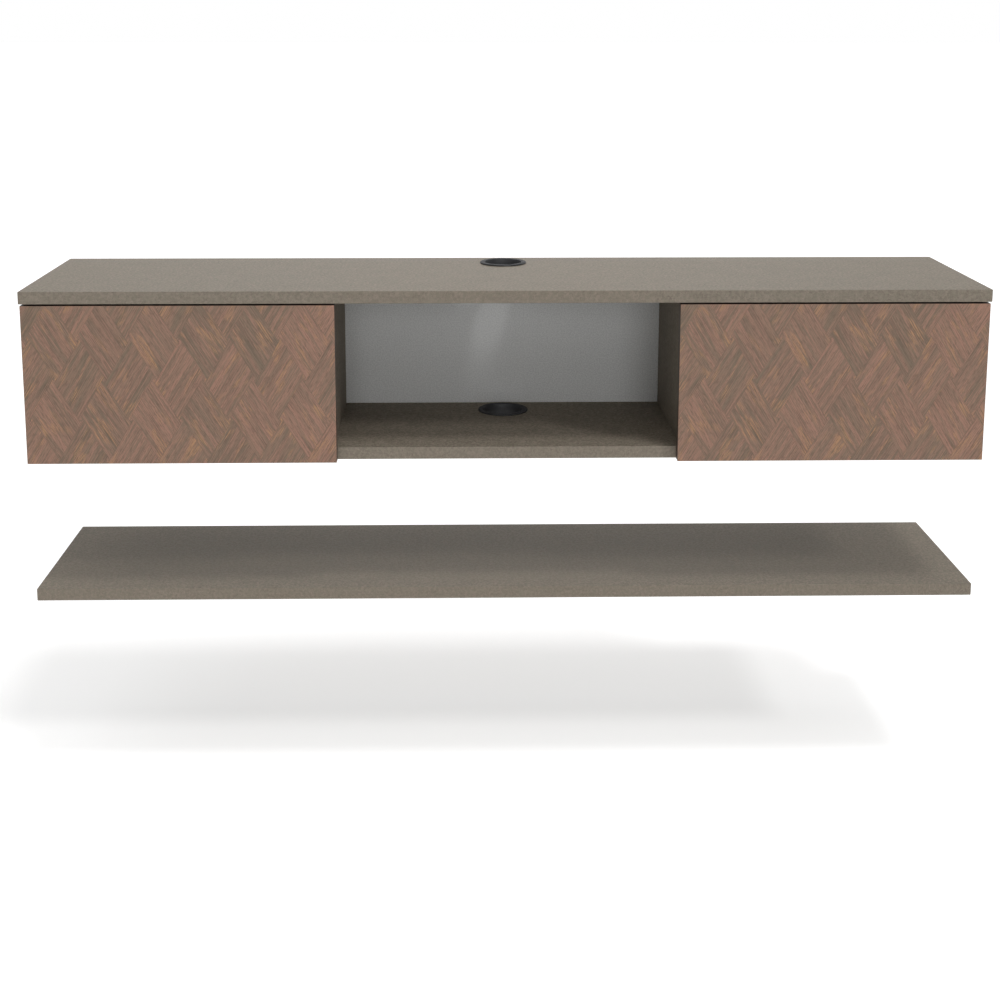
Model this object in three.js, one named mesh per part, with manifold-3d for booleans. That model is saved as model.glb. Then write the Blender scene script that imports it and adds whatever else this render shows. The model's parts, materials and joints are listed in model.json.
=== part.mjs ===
// Floating media console: a wall-hung cabinet with two drop-down flaps beside an open bay,
// and a separate floating shelf below it.
// Millimetres, +Z up, +X to the right seen from the front, -Y towards the viewer.
// The wall is the plane y = 0, and the origin is the centre of the wall cleat's rear face.
import * as THREE from "three";
import { mergeVertices } from "three/addons/utils/BufferGeometryUtils.js";
import Module from "manifold-3d";

const wasm = await Module();
wasm.setup();

// Clearances shared by every piece
const seatGap = 0.3; // between two pieces that bear on each other
const runningGap = 0.15; // around the hinge pin
const slidingGap = 0.4; // around the stay rod and the latch plunger
const cutOverrun = 1; // how far a cutting tool runs past the face it cuts
const roundSteps = 32;
const smallRoundSteps = 16;

// Cabinet
const boardThickness = 18;
const consoleWidth = 1400;
const consoleDepth = 314;
const consoleHeight = 254;
const topOverhang = 2; // of the top panel past each side panel
const bayWidth = 510;
const backThickness = 6;
const wallClearance = 0.7; // between the wall and the rear edges of the panels

// Flaps
const doorThickness = 16;
const doorFrontGap = 2.5; // between the doors and the front edges of the cabinet
const doorTopGap = 2.5; // the shadow line under the top panel
const doorBayLap = 6; // of each door past the divider, into the open bay

// Hanging cleats
const cleat = {
  thickness: 18,
  cabinetHeight: 50,
  cabinetLength: 1280,
  wallRearHeight: 32,
  wallLength: 1200,
  wallHoleShares: [-0.42, -0.14, 0.14, 0.42],
  wallHoleRadius: 2.75,
  wallSinkRadius: 5,
};
const cleatScrew = {
  length: 46,
  radius: 2.25,
  headRadius: 4.5,
  headHeight: 2.6,
  spacing: 16,
  firstBelowTop: 9,
};
const spacer = { length: 1200, height: 40, aboveUnderside: 12 };

// Cable grommets
const grommet = {
  topFlangeRadius: 36.5,
  topBoreRadius: 29,
  topFromWall: 57,
  floorFlangeRadius: 39.5,
  floorBoreRadius: 31.5,
  floorFromWall: 77,
  linerWall: 1.5,
  flangeRise: 2.5,
  flangeChamfer: 1.1,
  lipChamfer: 0.7,
  linerReach: 2,
};

// Lower shelf and its concealed brackets
const shelf = { drop: 199, depth: 291.5, width: 1400 };
const shelfBracket = {
  placeShares: [-0.4, -0.14, 0.14, 0.4],
  plateWidth: 50,
  plateHeight: 12,
  plateThickness: 3,
  rodRadius: 5,
  rodLength: 120,
  screwRadius: 2,
  screwSpacing: 34,
};

// Long hinge under each flap
const hinge = {
  length: 360,
  leafThickness: 0.8,
  leafHeight: 13,
  knuckles: 9,
  knuckleRadius: 1.85,
  pinRadius: 0.9,
  pinEnd: 0.8,
  axisBelowUnderside: 1.9,
  knuckleToLeaf: 0.35,
  tabRoot: 0.8, // how far each knuckle's tab runs up into its leaf
};

// Flap stay: a rod pivoted on the door that slides through a brake housing pivoted on the side panel
const stay = {
  fromSide: 16,
  endClearance: 12, // behind the rod when the flap is shut
  restAngle: 22, // degrees between the two pivots when the flap is shut
  openAngle: 90,
  doorPivotInset: 10,
  rodRadius: 3,
  eyeRadius: 5,
  eyeWidth: 6,
  doorPinRadius: 2,
  pinHeadRadius: 3.4,
  pinHeadHeight: 1,
  collarRadius: 6,
  collarLength: 6,
};
const stayHousing = {
  width: 16,
  length: 26,
  height: 16,
  pivotRadius: 2.5,
  pivotDepth: 3.4,
  brakeScrewRadius: 2,
  brakeHeadRadius: 4,
  brakeHeadHeight: 2.5,
};
const stayBracket = {
  earThickness: 2.5,
  earGap: 0.5,
  baseThickness: 2,
  baseHeight: 44,
  baseWidth: 24,
  screwRadius: 2,
  screwInset: 7,
};
const sidePlate = {
  thickness: 3,
  width: 22,
  height: 58,
  cornerRadius: 6,
  screwRadius: 2.2,
  screwInset: 8,
  shoulderRadius: 5,
};

// Push latch under the top panel, and what it meets on the door
const latch = {
  plateWidth: 30,
  plateThickness: 2,
  length: 60,
  bodyWidth: 14,
  bodyHeight: 16,
  setBack: 10, // of the latch body behind the front edges of the cabinet
  plungerRadius: 4,
  plungerInside: 30,
  travel: 3,
  spareDepth: 5,
  tipChamfer: 0.8,
  screwRadius: 1.8,
  screwInset: 8,
};
const strike = { radius: 6.5, thickness: 1.5, chamfer: 0.4 };
const bumper = { radius: 4, thickness: 1.8, crownShare: 0.5, fromEdge: 9 };

// Heights, worked up from the wall cleat at the origin
const wallCleatTop = cleat.wallRearHeight / 2;
const wallCleatBottom = -cleat.wallRearHeight / 2;
const cabinetCleatTip = wallCleatTop + wallClearance + seatGap * Math.SQRT2;
const cabinetCleatTop = cabinetCleatTip + cleat.cabinetHeight;
const topUnderside = cabinetCleatTop + seatGap;
const topSurface = topUnderside + boardThickness;
const underside = topSurface - consoleHeight;
const floorSurface = underside + boardThickness;
const shelfSurface = underside - shelf.drop;

// Depths, measured out from the wall
const rearEdge = -wallClearance;
const cleatFront = rearEdge - cleat.thickness;
const backRear = cleatFront - seatGap;
const backFront = backRear - backThickness;
const panelRear = backFront - seatGap;
const doorFront = -consoleDepth;
const doorRear = doorFront + doorThickness;
const cabinetFront = doorRear + doorFrontGap;

// Widths of the right-hand half
const sideOuter = consoleWidth / 2 - topOverhang;
const sideInner = sideOuter - boardThickness;
const dividerInner = bayWidth / 2;
const dividerOuter = dividerInner + boardThickness;
const doorInner = dividerInner - doorBayLap;
const doorOuter = sideOuter;
const doorMiddle = (dividerOuter + sideInner) / 2;
const doorTop = topUnderside - doorTopGap;

// Hinge axis and stay pivots
const hingeAxis = {
  y: (cabinetFront + doorRear) / 2,
  z: underside - hinge.axisBelowUnderside,
};
const staySideX = sideInner - stay.fromSide;
const restAngle = THREE.MathUtils.degToRad(stay.restAngle);
const openAngle = THREE.MathUtils.degToRad(stay.openAngle);

// The rod is as long as the room behind its door pivot allows. The pivots lie on one circle about the hinge
// axis, and its radius lets the collar meet the housing when the flap is open.
const rodEnd = backFront - doorRear - stay.doorPivotInset - stay.endClearance;
const collarStart = rodEnd - seatGap - stay.collarLength;
const openSpan = collarStart - seatGap - stayHousing.length / 2;
const stayRadius = openSpan / (2 * Math.sin((restAngle + openAngle) / 2));
const doorPivotAngle = Math.asin((stay.doorPivotInset + doorRear - hingeAxis.y) / stayRadius);
const cabinetPivotAngle = doorPivotAngle + restAngle;
const stayTilt = -(doorPivotAngle + cabinetPivotAngle) / 2;
const doorPivot = pivotAt(doorPivotAngle);
const cabinetPivot = pivotAt(cabinetPivotAngle);

function pivotAt(angle) {
  return {
    y: hingeAxis.y + stayRadius * Math.sin(angle),
    z: hingeAxis.z + stayRadius * Math.cos(angle),
  };
}

// Finishes
function finish(color, roughness, metalness = 0) {
  return new THREE.MeshStandardMaterial({ color, roughness, metalness });
}
const taupeLaminate = finish(0x8f887d, 0.55);
const veneer = finish(0x80685a, 0.5);
const paleBackboard = finish(0xa3a2a0, 0.7);
const blackPlastic = finish(0x1c1a18, 0.45);
const plywood = finish(0xb99b74, 0.75);
const zincSteel = finish(0xb4b6b8, 0.35, 1);
const darkSteel = finish(0x55565a, 0.4, 1);
const greyPlastic = finish(0x6d6e70, 0.5);
const softRubber = finish(0x8c8a86, 0.85);

// Shape helpers
function boxBetween([x0, x1], [y0, y1], [z0, z1]) {
  const box = new THREE.BoxGeometry(x1 - x0, y1 - y0, z1 - z0);
  return box.translate((x0 + x1) / 2, (y0 + y1) / 2, (z0 + z1) / 2);
}

// Turns a shape drawn along +Y so that it runs along the named axis.
function layAlong(axis, geometry) {
  if (axis === "x") geometry.rotateZ(-Math.PI / 2);
  if (axis === "z") geometry.rotateX(Math.PI / 2);
  return geometry;
}

function rod(axis, radius, [low, high], steps = smallRoundSteps) {
  const cylinder = new THREE.CylinderGeometry(radius, radius, high - low, steps);
  return layAlong(axis, cylinder.translate(0, (low + high) / 2, 0));
}

// A turned piece, from profile points of [radius, place along the axis].
function turned(axis, profile, steps = roundSteps) {
  const points = profile.map(([radius, along]) => new THREE.Vector2(radius, along));
  return layAlong(axis, new THREE.LatheGeometry(points, steps));
}

function ring(axis, innerRadius, outerRadius, [low, high], steps = smallRoundSteps) {
  const profile = [
    [innerRadius, low],
    [outerRadius, low],
    [outerRadius, high],
    [innerRadius, high],
    [innerRadius, low],
  ];
  return turned(axis, profile, steps);
}

// An outline in the Y-Z plane, drawn out along X.
function drawnAlongX(outline, [x0, x1]) {
  const drawn = new THREE.ExtrudeGeometry(outline, {
    depth: x1 - x0,
    bevelEnabled: false,
    curveSegments: smallRoundSteps / 2,
  });
  const turn = new THREE.Matrix4().makeBasis(
    new THREE.Vector3(0, 1, 0),
    new THREE.Vector3(0, 0, 1),
    new THREE.Vector3(1, 0, 0),
  );
  return drawn.applyMatrix4(turn).translate(x0, 0, 0);
}

function outlineOf(points) {
  return new THREE.Shape(points.map(([y, z]) => new THREE.Vector2(y, z)));
}

function roundHole(y, z, radius) {
  return new THREE.Path().absarc(y, z, radius, 0, 2 * Math.PI, true);
}

// Solid joins and cuts
function solidOf(geometry) {
  const bare = geometry.clone();
  bare.deleteAttribute("normal");
  bare.deleteAttribute("uv");
  const merged = mergeVertices(bare);
  return new wasm.Manifold(
    new wasm.Mesh({
      numProp: 3,
      vertProperties: merged.attributes.position.array,
      triVerts: new Uint32Array(merged.index.array),
    }),
  );
}

function geometryOf(solid) {
  const mesh = solid.getMesh();
  const geometry = new THREE.BufferGeometry();
  geometry.setAttribute("position", new THREE.BufferAttribute(mesh.vertProperties, 3));
  geometry.setIndex(new THREE.BufferAttribute(mesh.triVerts, 1));
  const flat = geometry.toNonIndexed();
  flat.computeVertexNormals();
  return flat;
}

function cut(base, ...tools) {
  return geometryOf(tools.reduce((left, tool) => left.subtract(solidOf(tool)), solidOf(base)));
}

function join(first, ...others) {
  return geometryOf(others.reduce((sum, other) => sum.add(solidOf(other)), solidOf(first)));
}

// A named mesh whose own origin is the middle of its box, placed where its geometry was drawn.
function piece(name, material, geometry) {
  geometry.computeBoundingBox();
  const centre = geometry.boundingBox.getCenter(new THREE.Vector3());
  geometry.translate(-centre.x, -centre.y, -centre.z);
  const mesh = new THREE.Mesh(geometry, material);
  mesh.name = name;
  mesh.position.copy(centre);
  return mesh;
}

function groupOf(...children) {
  const group = new THREE.Group();
  group.add(...children);
  return group;
}

// Cleat screws lie in pairs, one above the other, behind each divider.
const dividerCentre = (dividerInner + dividerOuter) / 2;
const screwHeights = [0, 1].map(
  (row) => topUnderside - cleatScrew.firstBelowTop - row * cleatScrew.spacing,
);
const screwHead = rearEdge - seatGap;
const screwTip = screwHead - cleatScrew.length;

function screwHole(x, z) {
  const radius = cleatScrew.radius + seatGap;
  const sinkRadius = cleatScrew.headRadius + seatGap;
  const profile = [
    [0, screwTip - seatGap],
    [radius, screwTip - seatGap],
    [radius, screwHead - cleatScrew.headHeight],
    [sinkRadius, screwHead],
    [sinkRadius, rearEdge + cutOverrun],
    [0, rearEdge + cutOverrun],
  ];
  return turned("y", profile, smallRoundSteps).translate(x, 0, z);
}

function screwHolesAt(x) {
  return screwHeights.map((z) => screwHole(x, z));
}

function grommetHole(boreRadius, fromWall, [bottom, top]) {
  const radius = boreRadius + grommet.linerWall + seatGap;
  const span = [bottom - cutOverrun, top + cutOverrun];
  return rod("z", radius, span, roundSteps).translate(0, -fromWall, 0);
}

function makePanels() {
  const halfWidth = consoleWidth / 2;
  const innerHalf = sideInner - seatGap;
  const topSpan = [topUnderside, topSurface];
  const floorSpan = [underside, floorSurface];
  const upright = [floorSurface + seatGap, topUnderside - seatGap];
  const top = cut(
    boxBetween([-halfWidth, halfWidth], [doorFront, rearEdge], topSpan),
    grommetHole(grommet.topBoreRadius, grommet.topFromWall, topSpan),
  );
  const bottom = cut(
    boxBetween([-innerHalf, innerHalf], [cabinetFront, panelRear], floorSpan),
    grommetHole(grommet.floorBoreRadius, grommet.floorFromWall, floorSpan),
  );
  const back = cut(
    boxBetween([-innerHalf, innerHalf], [backFront, backRear], [underside, upright[1]]),
    ...screwHolesAt(-dividerCentre),
    ...screwHolesAt(dividerCentre),
  );
  const panels = groupOf(
    piece("top_panel", taupeLaminate, top),
    piece("bottom_panel", taupeLaminate, bottom),
    piece("back_panel", paleBackboard, back),
  );
  for (const [side, sign] of [["left", -1], ["right", 1]]) {
    const sideSpan = [sign * sideInner, sign * sideOuter].sort((a, b) => a - b);
    const dividerSpan = [sign * dividerInner, sign * dividerOuter].sort((a, b) => a - b);
    const sidePanel = boxBetween(sideSpan, [cabinetFront, rearEdge], [underside, upright[1]]);
    const divider = cut(
      boxBetween(dividerSpan, [cabinetFront, panelRear], upright),
      ...screwHolesAt(sign * dividerCentre),
    );
    panels.add(
      piece(side + "_side_panel", taupeLaminate, sidePanel),
      piece(side + "_divider", taupeLaminate, divider),
    );
  }
  return panels;
}

function makeGrommet(name, boreRadius, flangeRadius, fromWall, surface) {
  const liner = boreRadius + grommet.linerWall;
  const end = -(boardThickness + grommet.linerReach);
  const profile = [
    [boreRadius, end],
    [liner, end],
    [liner, seatGap],
    [flangeRadius, seatGap],
    [flangeRadius, grommet.flangeRise - grommet.flangeChamfer],
    [flangeRadius - grommet.flangeChamfer, grommet.flangeRise],
    [boreRadius + grommet.lipChamfer, grommet.flangeRise],
    [boreRadius, grommet.flangeRise - grommet.lipChamfer],
    [boreRadius, end],
  ];
  const body = turned("z", profile).translate(0, -fromWall, surface);
  return piece(name, blackPlastic, body);
}

function makeCleats() {
  const cabinetOutline = outlineOf([
    [rearEdge, cabinetCleatTop],
    [rearEdge, cabinetCleatTip],
    [cleatFront, cabinetCleatTip + cleat.thickness],
    [cleatFront, cabinetCleatTop],
  ]);
  const wallOutline = outlineOf([
    [0, wallCleatTop],
    [0, wallCleatBottom],
    [-cleat.thickness, wallCleatBottom],
    [-cleat.thickness, wallCleatTop + cleat.thickness],
  ]);
  const halfCabinet = cleat.cabinetLength / 2;
  const halfWall = cleat.wallLength / 2;
  const cabinetCleat = cut(
    drawnAlongX(cabinetOutline, [-halfCabinet, halfCabinet]),
    ...screwHolesAt(-dividerCentre),
    ...screwHolesAt(dividerCentre),
  );
  const sinkDepth = cleat.wallSinkRadius - cleat.wallHoleRadius;
  const holeProfile = [
    [0, -cleat.thickness - cutOverrun],
    [cleat.wallSinkRadius, -cleat.thickness - cutOverrun],
    [cleat.wallSinkRadius, -cleat.thickness],
    [cleat.wallHoleRadius, -cleat.thickness + sinkDepth],
    [cleat.wallHoleRadius, cutOverrun],
    [0, cutOverrun],
  ];
  const wallHoles = cleat.wallHoleShares.map((share) =>
    turned("y", holeProfile, smallRoundSteps).translate(share * cleat.wallLength, 0, 0),
  );
  const halfSpacer = spacer.length / 2;
  const spacerBottom = underside + spacer.aboveUnderside;
  const strip = boxBetween(
    [-halfSpacer, halfSpacer],
    [backRear + seatGap, 0],
    [spacerBottom, spacerBottom + spacer.height],
  );
  return groupOf(
    piece("cabinet_cleat", plywood, cabinetCleat),
    piece("wall_cleat", plywood, cut(drawnAlongX(wallOutline, [-halfWall, halfWall]), ...wallHoles)),
    piece("wall_spacer", plywood, strip),
  );
}

function makeCleatScrews() {
  const profile = [
    [0, screwTip],
    [cleatScrew.radius, screwTip + cleatScrew.radius],
    [cleatScrew.radius, screwHead - cleatScrew.headHeight],
    [cleatScrew.headRadius, screwHead],
    [0, screwHead],
  ];
  const places = [-dividerCentre, dividerCentre].flatMap((x) => screwHeights.map((z) => [x, z]));
  const screws = places.map(([x, z], index) => {
    const screw = turned("y", profile, smallRoundSteps).translate(x, 0, z);
    return piece("cleat_screw_" + (index + 1), zincSteel, screw);
  });
  return groupOf(...screws);
}

function makeLowerShelf() {
  const halfWidth = shelf.width / 2;
  const middle = shelfSurface - boardThickness / 2;
  const halfPlate = shelfBracket.plateWidth / 2;
  const halfHeight = shelfBracket.plateHeight / 2;
  const boreEnd = -(shelfBracket.rodLength + seatGap);
  const group = new THREE.Group();
  const sockets = [];
  shelfBracket.placeShares.forEach((share, index) => {
    const x = share * shelf.width;
    sockets.push(
      boxBetween(
        [x - halfPlate - seatGap, x + halfPlate + seatGap],
        [-shelfBracket.plateThickness - seatGap, cutOverrun],
        [middle - halfHeight - seatGap, middle + halfHeight + seatGap],
      ),
      rod("y", shelfBracket.rodRadius + seatGap, [boreEnd, 0]).translate(x, 0, middle),
    );
    const plate = boxBetween(
      [x - halfPlate, x + halfPlate],
      [-shelfBracket.plateThickness, 0],
      [middle - halfHeight, middle + halfHeight],
    );
    const pegSpan = [-shelfBracket.rodLength, -shelfBracket.plateThickness / 2];
    const peg = rod("y", shelfBracket.rodRadius, pegSpan).translate(x, 0, middle);
    const holeSpan = [-shelfBracket.plateThickness - cutOverrun, cutOverrun];
    const holes = [-1, 1].map((side) =>
      rod("y", shelfBracket.screwRadius, holeSpan)
        .translate(x + (side * shelfBracket.screwSpacing) / 2, 0, middle),
    );
    group.add(piece("shelf_bracket_" + (index + 1), darkSteel, cut(join(plate, peg), ...holes)));
  });
  const board = boxBetween(
    [-halfWidth, halfWidth],
    [rearEdge - shelf.depth, rearEdge],
    [shelfSurface - boardThickness, shelfSurface],
  );
  group.add(piece("lower_shelf", taupeLaminate, cut(board, ...sockets)));
  return group;
}

// One leaf of the long hinge. Its plate stops short of the knuckles, and tabs reach down to its own ones.
function hingeLeaf([yLow, yHigh], isOwnKnuckle) {
  const left = doorMiddle - hinge.length / 2;
  const pitch = hinge.length / hinge.knuckles;
  const plateBottom = hingeAxis.z + hinge.knuckleRadius + hinge.knuckleToLeaf;
  const plate = boxBetween(
    [left, left + hinge.length],
    [yLow, yHigh],
    [plateBottom, plateBottom + hinge.leafHeight],
  );
  const pinHole = rod(
    "x",
    hinge.pinRadius + runningGap,
    [left - cutOverrun, left + hinge.length + cutOverrun],
  ).translate(0, hingeAxis.y, hingeAxis.z);
  const knuckles = [];
  for (let index = 0; index < hinge.knuckles; index++) {
    if (!isOwnKnuckle(index)) continue;
    const span = [left + index * pitch + seatGap / 2, left + (index + 1) * pitch - seatGap / 2];
    const barrel = rod("x", hinge.knuckleRadius, span).translate(0, hingeAxis.y, hingeAxis.z);
    const tab = boxBetween(span, [yLow, yHigh], [hingeAxis.z, plateBottom + hinge.tabRoot]);
    knuckles.push(barrel, tab);
  }
  return cut(join(plate, ...knuckles), pinHole);
}

function makeHinge(side) {
  const fixedLeaf = [cabinetFront - seatGap - hinge.leafThickness, cabinetFront - seatGap];
  const doorLeaf = [doorRear + seatGap, doorRear + seatGap + hinge.leafThickness];
  const halfPin = hinge.length / 2 + hinge.pinEnd;
  const pin = rod("x", hinge.pinRadius, [doorMiddle - halfPin, doorMiddle + halfPin])
    .translate(0, hingeAxis.y, hingeAxis.z);
  return groupOf(
    piece(side + "_hinge_fixed_leaf", zincSteel, hingeLeaf(fixedLeaf, (index) => index % 2 === 0)),
    piece(side + "_hinge_door_leaf", zincSteel, hingeLeaf(doorLeaf, (index) => index % 2 === 1)),
    piece(side + "_hinge_pin", zincSteel, pin),
  );
}

function makeDoorPanel(side) {
  const panel = boxBetween([doorInner, doorOuter], [doorFront, doorRear], [underside, doorTop]);
  const group = groupOf(piece(side + "_door_panel", veneer, panel));
  const crown = bumper.thickness * bumper.crownShare;
  const profile = [
    [0, 0],
    [bumper.radius, 0],
    [bumper.radius, bumper.thickness - crown],
    [bumper.radius - crown, bumper.thickness],
    [0, bumper.thickness],
  ];
  const places = { inner: dividerOuter - bumper.fromEdge, outer: sideInner + bumper.fromEdge };
  for (const [place, x] of Object.entries(places)) {
    const pad = turned("y", profile, smallRoundSteps)
      .translate(x, doorRear + seatGap, doorTop - bumper.fromEdge);
    group.add(piece(side + "_" + place + "_bumper", softRubber, pad));
  }
  return group;
}

// The rod, its eye and its collar, along +Y from the door pivot.
function makeStayRod(side) {
  const half = stay.eyeWidth / 2;
  const eye = ring("x", stay.doorPinRadius + slidingGap, stay.eyeRadius, [-half, half]);
  const shaftStart = (stay.doorPinRadius + slidingGap + stay.eyeRadius) / 2;
  const shaft = rod("y", stay.rodRadius, [shaftStart, rodEnd]);
  const collarSpan = [collarStart, collarStart + stay.collarLength];
  const collar = ring("y", stay.rodRadius + seatGap, stay.collarRadius, collarSpan);
  const group = groupOf(
    piece(side + "_stay_rod", zincSteel, join(eye, shaft)),
    piece(side + "_stay_collar", darkSteel, collar),
  );
  group.position.set(staySideX, doorPivot.y, doorPivot.z);
  group.rotation.x = stayTilt;
  return group;
}

// The brake housing about its own pivot, with the rod's way through it along Y.
function makeStayHousing(side) {
  const { width, length, height, pivotRadius, pivotDepth } = stayHousing;
  const block = boxBetween([-width / 2, width / 2], [-length / 2, length / 2], [-height / 2, height / 2]);
  const rodWay = rod("y", stay.rodRadius + slidingGap, [-length / 2 - cutOverrun, length / 2 + cutOverrun]);
  const pivotSpan = [width / 2 - pivotDepth - seatGap, width / 2 + cutOverrun];
  const pivotHole = rod("x", pivotRadius + slidingGap, pivotSpan);
  const screwWay = rod("z", stayHousing.brakeScrewRadius + seatGap, [0, height / 2 + cutOverrun]);
  const screwFoot = stay.rodRadius + seatGap;
  const headBottom = height / 2 + seatGap;
  const screw = join(
    rod("z", stayHousing.brakeScrewRadius, [screwFoot, headBottom + stayHousing.brakeHeadHeight / 2]),
    rod("z", stayHousing.brakeHeadRadius, [headBottom, headBottom + stayHousing.brakeHeadHeight]),
  );
  const group = groupOf(
    piece(side + "_stay_housing", greyPlastic, cut(block, rodWay, pivotHole, screwWay)),
    piece(side + "_stay_brake_screw", darkSteel, screw),
  );
  group.position.set(staySideX, cabinetPivot.y, cabinetPivot.z);
  group.rotation.x = stayTilt;
  return group;
}

function makeSidePlate(side) {
  const { width, height, thickness, cornerRadius, screwInset } = sidePlate;
  const halfWidth = width / 2;
  const halfHeight = height / 2;
  const outline = new THREE.Shape();
  const inY = halfWidth - cornerRadius;
  const inZ = halfHeight - cornerRadius;
  outline.absarc(inY, inZ, cornerRadius, 0, Math.PI / 2);
  outline.absarc(-inY, inZ, cornerRadius, Math.PI / 2, Math.PI);
  outline.absarc(-inY, -inZ, cornerRadius, Math.PI, Math.PI * 1.5);
  outline.absarc(inY, -inZ, cornerRadius, Math.PI * 1.5, Math.PI * 2);
  outline.holes.push(
    roundHole(0, 0, stayHousing.pivotRadius + seatGap),
    roundHole(0, halfHeight - screwInset, sidePlate.screwRadius),
    roundHole(0, screwInset - halfHeight, sidePlate.screwRadius),
  );
  const outerFace = sideInner - seatGap;
  const innerFace = outerFace - thickness;
  const plate = drawnAlongX(outline, [innerFace, outerFace]).translate(0, cabinetPivot.y, cabinetPivot.z);
  const housingFace = staySideX + stayHousing.width / 2;
  const pinProfile = [
    [0, housingFace - stayHousing.pivotDepth],
    [stayHousing.pivotRadius, housingFace - stayHousing.pivotDepth],
    [stayHousing.pivotRadius, housingFace + seatGap],
    [sidePlate.shoulderRadius, housingFace + seatGap],
    [sidePlate.shoulderRadius, innerFace - seatGap],
    [stayHousing.pivotRadius, innerFace - seatGap],
    [stayHousing.pivotRadius, outerFace],
    [0, outerFace],
  ];
  const pin = turned("x", pinProfile, smallRoundSteps).translate(0, cabinetPivot.y, cabinetPivot.z);
  return groupOf(
    piece(side + "_stay_side_plate", zincSteel, plate),
    piece(side + "_stay_cabinet_pin", darkSteel, pin),
  );
}

function makeDoorBracket(side) {
  const { earThickness, earGap, baseThickness, baseHeight, baseWidth, screwInset } = stayBracket;
  const base = doorRear + seatGap;
  const half = baseHeight / 2;
  const plate = boxBetween(
    [staySideX - baseWidth / 2, staySideX + baseWidth / 2],
    [base, base + baseThickness],
    [doorPivot.z - half, doorPivot.z + half],
  );
  const screwSpan = [base - cutOverrun, base + baseThickness + cutOverrun];
  const screwHoles = [-1, 1].map((end) =>
    rod("y", stayBracket.screwRadius, screwSpan)
      .translate(staySideX, 0, doorPivot.z + end * (half - screwInset)),
  );
  const earStart = stay.eyeWidth / 2 + earGap;
  const ears = [-1, 1].map((end) => {
    const outline = new THREE.Shape();
    outline.moveTo(base, doorPivot.z - stay.eyeRadius);
    outline.absarc(doorPivot.y, doorPivot.z, stay.eyeRadius, -Math.PI / 2, Math.PI / 2);
    outline.lineTo(base, doorPivot.z + stay.eyeRadius);
    outline.holes.push(roundHole(doorPivot.y, doorPivot.z, stay.doorPinRadius + seatGap));
    const span = [end * earStart, end * (earStart + earThickness)].sort((a, b) => a - b);
    return drawnAlongX(outline, span).translate(staySideX, 0, 0);
  });
  const earEnd = earStart + earThickness;
  const pinProfile = [
    [0, -earEnd - stay.pinHeadHeight - seatGap],
    [stay.pinHeadRadius, -earEnd - stay.pinHeadHeight - seatGap],
    [stay.pinHeadRadius, -earEnd - seatGap],
    [stay.doorPinRadius, -earEnd - seatGap],
    [stay.doorPinRadius, earEnd + stay.pinHeadHeight],
    [0, earEnd + stay.pinHeadHeight],
  ];
  const pin = turned("x", pinProfile, smallRoundSteps).translate(staySideX, doorPivot.y, doorPivot.z);
  return groupOf(
    piece(side + "_stay_door_bracket", zincSteel, join(cut(plate, ...screwHoles), ...ears)),
    piece(side + "_stay_door_pin", darkSteel, pin),
  );
}

// The push latch under the top panel, its plunger, and the strike that it meets on the door.
function makeLatch(side) {
  const front = cabinetFront + latch.setBack;
  const rear = front + latch.length;
  const top = topUnderside - seatGap;
  const plateBottom = top - latch.plateThickness;
  const axisZ = plateBottom - latch.bodyHeight / 2;
  const strikeFace = doorRear + seatGap + strike.thickness;
  const plungerFront = strikeFace + seatGap;
  const plungerRear = front + latch.plungerInside;
  const boreEnd = plungerRear + latch.travel + latch.spareDepth;
  const plate = boxBetween(
    [doorMiddle - latch.plateWidth / 2, doorMiddle + latch.plateWidth / 2],
    [front, rear],
    [plateBottom, top],
  );
  const block = boxBetween(
    [doorMiddle - latch.bodyWidth / 2, doorMiddle + latch.bodyWidth / 2],
    [front, rear],
    [plateBottom - latch.bodyHeight, top],
  );
  const bore = rod("y", latch.plungerRadius + slidingGap, [front - cutOverrun, boreEnd])
    .translate(doorMiddle, 0, axisZ);
  const wing = (latch.plateWidth + latch.bodyWidth) / 4;
  const screwSpan = [plateBottom - cutOverrun, top + cutOverrun];
  const screwHoles = [-1, 1].flatMap((end) =>
    [front + latch.screwInset, rear - latch.screwInset].map((y) =>
      rod("z", latch.screwRadius, screwSpan).translate(doorMiddle + end * wing, y, 0),
    ),
  );
  const plungerProfile = [
    [0, plungerFront],
    [latch.plungerRadius - latch.tipChamfer, plungerFront],
    [latch.plungerRadius, plungerFront + latch.tipChamfer],
    [latch.plungerRadius, plungerRear],
    [0, plungerRear],
  ];
  const plunger = turned("y", plungerProfile, smallRoundSteps).translate(doorMiddle, 0, axisZ);
  const strikeProfile = [
    [0, doorRear + seatGap],
    [strike.radius, doorRear + seatGap],
    [strike.radius, strikeFace - strike.chamfer],
    [strike.radius - strike.chamfer, strikeFace],
    [0, strikeFace],
  ];
  const disc = turned("y", strikeProfile).translate(doorMiddle, 0, axisZ);
  return groupOf(
    piece(side + "_latch_body", greyPlastic, cut(join(plate, block), bore, ...screwHoles)),
    piece(side + "_latch_plunger", darkSteel, plunger),
    piece(side + "_strike_plate", zincSteel, disc),
  );
}

// All that belongs to one flap, drawn on the right and mirrored for the left.
function makeFlap(side, mirror) {
  const flap = groupOf(
    makeDoorPanel(side),
    makeHinge(side),
    makeStayRod(side),
    makeStayHousing(side),
    makeSidePlate(side),
    makeDoorBracket(side),
    makeLatch(side),
  );
  flap.scale.x = mirror;
  return flap;
}

export default groupOf(
  makePanels(),
  makeGrommet(
    "top_grommet",
    grommet.topBoreRadius,
    grommet.topFlangeRadius,
    grommet.topFromWall,
    topSurface,
  ),
  makeGrommet(
    "floor_grommet",
    grommet.floorBoreRadius,
    grommet.floorFlangeRadius,
    grommet.floorFromWall,
    floorSurface,
  ),
  makeCleats(),
  makeCleatScrews(),
  makeLowerShelf(),
  makeFlap("left", -1),
  makeFlap("right", 1),
);
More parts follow.
